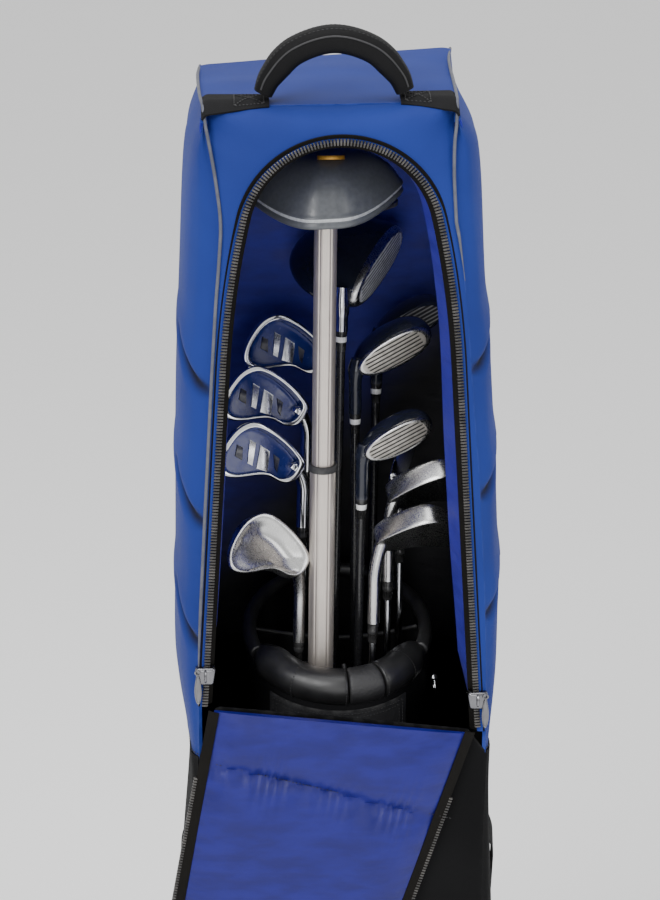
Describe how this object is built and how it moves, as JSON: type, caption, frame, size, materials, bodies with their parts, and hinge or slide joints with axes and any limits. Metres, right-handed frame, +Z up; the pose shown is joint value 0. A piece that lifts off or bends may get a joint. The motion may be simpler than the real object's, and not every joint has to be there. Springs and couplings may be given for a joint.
{
  "type": "golf travel cover with golf bag and clubs",
  "caption": "Wheeled soft travel cover standing open, holding a golf bag with clubs and a telescoping support rod; flap, zip sliders, handle, rod, wheels and clubs move",
  "frame": {"origin": "centre of the base on the floor, where the feet stand", "axes": "+Z up along the bag, the front opening faces -Y, +X to the right seen from the front"},
  "size_m": [0.3798, 0.312, 1.472],
  "materials": {
    "moulded_black": "satin moulded polypropylene",
    "base_foam": "closed-cell foam in black cloth",
    "tyre": "matte polyurethane",
    "wheel_core": "grey nylon",
    "steel": "zinc-plated",
    "black_cloth": "black woven polyester",
    "blue_cloth": "blue woven polyester",
    "piping": "grey-blue piping cord",
    "zip_chain": "black moulded teeth on dark tape",
    "flap_lining": "violet-blue satin over padding",
    "zip_metal": "gunmetal plate",
    "handle_vinyl": "black grained vinyl",
    "rod_metal": "satin champagne anodised",
    "rod_rubber": "matte black rubber",
    "head_shell": "charcoal soft-touch moulding",
    "plug": "bronze-coloured",
    "wood_clubs": "painted hollow heads on black graphite shafts, black grips",
    "iron_clubs": null
  },
  "bodies": {
    "cover": {"bag_base": "moulded_black", "bag_body": "black_cloth", "bag_cuff": "handle_vinyl", "bag_dividers": "black_cloth", "bag_pockets": "black_cloth", "bag_top_rim": "handle_vinyl", "bag_trim": "black_cloth", "base_feet": "moulded_black", "base_pad": "base_foam", "base_tray": "moulded_black", "boot_back_panel": "black_cloth", "boot_front_panel": "black_cloth", "boot_left_panel": "black_cloth", "boot_right_panel": "black_cloth", "front_surround": "blue_cloth", "handle_anchors": "black_cloth", "rod_button_spring": "steel", "rod_foot": "rod_rubber", "rod_lock_housing": "moulded_black", "rod_lower_tube": "rod_metal", "rod_seal_ring": "rod_rubber", "shell_piping": "piping", "skid_rails": "moulded_black", "top_panel": "blue_cloth", "upper_back_panel": "blue_cloth", "upper_left_panel": "blue_cloth", "upper_right_panel": "blue_cloth", "wheel_axles": "steel", "wheel_brackets": "moulded_black", "zip_chain_body": "zip_chain"},
    "flap": {"front_flap": "flap_lining", "zip_chain_flap": "zip_chain"},
    "left_slider": {"zip_slider_left": "zip_metal"},
    "left_pull": {"pull_tab_left": "zip_metal"},
    "right_slider": {"zip_slider_right": "zip_metal"},
    "right_pull": {"pull_tab_right": "zip_metal"},
    "handle": {"handle_grip": "handle_vinyl"},
    "left_wheel": {"wheel_tyre_left": "tyre", "wheel_hub_left": "wheel_core", "wheel_bearings_left": "steel"},
    "right_wheel": {"wheel_tyre_right": "tyre", "wheel_hub_right": "wheel_core", "wheel_bearings_right": "steel"},
    "upper_rod": {"rod_upper_tube": "rod_metal", "rod_head_shell": "head_shell", "rod_head_core": "moulded_black", "rod_head_plug": "plug", "rod_head_bead": "rod_rubber"},
    "lock_button": {"rod_lock_button": "moulded_black"},
    "driver_club": {"club_driver": "wood_clubs"},
    "fairway_wood_club": {"club_fairway_wood": "wood_clubs"},
    "utility_wood_club": {"club_utility_wood": "wood_clubs"},
    "hybrid_club": {"club_hybrid": "wood_clubs"},
    "iron_5_club": {"club_iron_5": "iron_clubs"},
    "iron_6_club": {"club_iron_6": "iron_clubs"},
    "iron_7_club": {"club_iron_7": "iron_clubs"},
    "iron_9_club": {"club_iron_9": "iron_clubs"},
    "pitching_wedge_club": {"club_pitching_wedge": "iron_clubs"},
    "sand_wedge_club": {"club_sand_wedge": "iron_clubs"},
    "lob_wedge_club": {"club_lob_wedge": "iron_clubs"}
  },
  "joints": [
    {"name": "flap_fold", "type": "hinge", "parent": "cover", "child": "flap", "pos_m": [0, -0.15, 0.782], "axis": [-0.9925, 0, 0.1219], "range_deg": [0, 180]},
    {"name": "handle_swing", "type": "hinge", "parent": "cover", "child": "handle", "pos_m": [0, -0.112, 1.41], "axis": [1, 0, 0], "range_deg": [-45, 45]},
    {"name": "rod_slide", "type": "slide", "parent": "cover", "child": "upper_rod", "axis": [0.0122, 0.0024, 0.9999], "range_m": [-0.006, 0.03]},
    {"name": "lock_button_press", "type": "slide", "parent": "cover", "child": "lock_button", "axis": [0, -1, 0.0024], "range_m": [0, 0.002], "stiffness_N_per_m": 900, "springref_m": -0.002, "deforming": ["rod_button_spring"]},
    {"name": "left_slider_run", "type": "slide", "parent": "cover", "child": "left_slider", "axis": [0.0651, 0, 0.9979], "range_m": [0, 0.32]},
    {"name": "left_pull_swing", "type": "hinge", "parent": "left_slider", "child": "left_pull", "pos_m": [-0.14172, -0.1557, 0.84024], "axis": [-0.9979, 0, 0.0651], "range_deg": [0, 150]},
    {"name": "right_slider_run", "type": "slide", "parent": "cover", "child": "right_slider", "axis": [-0.0651, 0, 0.9979], "range_m": [0, 0.32]},
    {"name": "right_pull_swing", "type": "hinge", "parent": "right_slider", "child": "right_pull", "pos_m": [0.14388, -0.1557, 0.80721], "axis": [-0.9979, 0, -0.0651], "range_deg": [0, 150]},
    {"name": "left_wheel_spin", "type": "hinge", "parent": "cover", "child": "left_wheel", "pos_m": [-0.116, 0.116, 0.036], "axis": [1, 0, 0], "continuous": true},
    {"name": "right_wheel_spin", "type": "hinge", "parent": "cover", "child": "right_wheel", "pos_m": [0.116, 0.116, 0.036], "axis": [1, 0, 0], "continuous": true},
    {"name": "driver_lift", "type": "slide", "parent": "cover", "child": "driver_club", "axis": [0.0211, 0.0141, 0.9997], "range_m": [0, 0.03]},
    {"name": "fairway_wood_lift", "type": "slide", "parent": "cover", "child": "fairway_wood_club", "axis": [0.0009, 0.0009, 1], "range_m": [0, 0.03]},
    {"name": "utility_wood_lift", "type": "slide", "parent": "cover", "child": "utility_wood_club", "axis": [0.0178, 0.0281, 0.9994], "range_m": [0, 0.03]},
    {"name": "hybrid_lift", "type": "slide", "parent": "cover", "child": "hybrid_club", "axis": [0.0154, 0, 0.9999], "range_m": [0, 0.03]},
    {"name": "iron_5_lift", "type": "slide", "parent": "cover", "child": "iron_5_club", "axis": [-0.0039, 0.0019, 1], "range_m": [0, 0.03]},
    {"name": "iron_6_lift", "type": "slide", "parent": "cover", "child": "iron_6_club", "axis": [0.0182, 0.0101, 0.9998], "range_m": [0, 0.03]},
    {"name": "iron_7_lift", "type": "slide", "parent": "cover", "child": "iron_7_club", "axis": [0.0202, 0.0085, 0.9998], "range_m": [0, 0.03]},
    {"name": "iron_9_lift", "type": "slide", "parent": "cover", "child": "iron_9_club", "axis": [0.0076, 0.0065, 0.9999], "range_m": [0, 0.03]},
    {"name": "pitching_wedge_lift", "type": "slide", "parent": "cover", "child": "pitching_wedge_club", "axis": [0.0044, 0.0077, 1], "range_m": [0, 0.03]},
    {"name": "sand_wedge_lift", "type": "slide", "parent": "cover", "child": "sand_wedge_club", "axis": [0.0263, 0.016, 0.9995], "range_m": [0, 0.03]},
    {"name": "lob_wedge_lift", "type": "slide", "parent": "cover", "child": "lob_wedge_club", "axis": [0.0235, -0.0035, 0.9997], "range_m": [0, 0.03]}
  ]
}
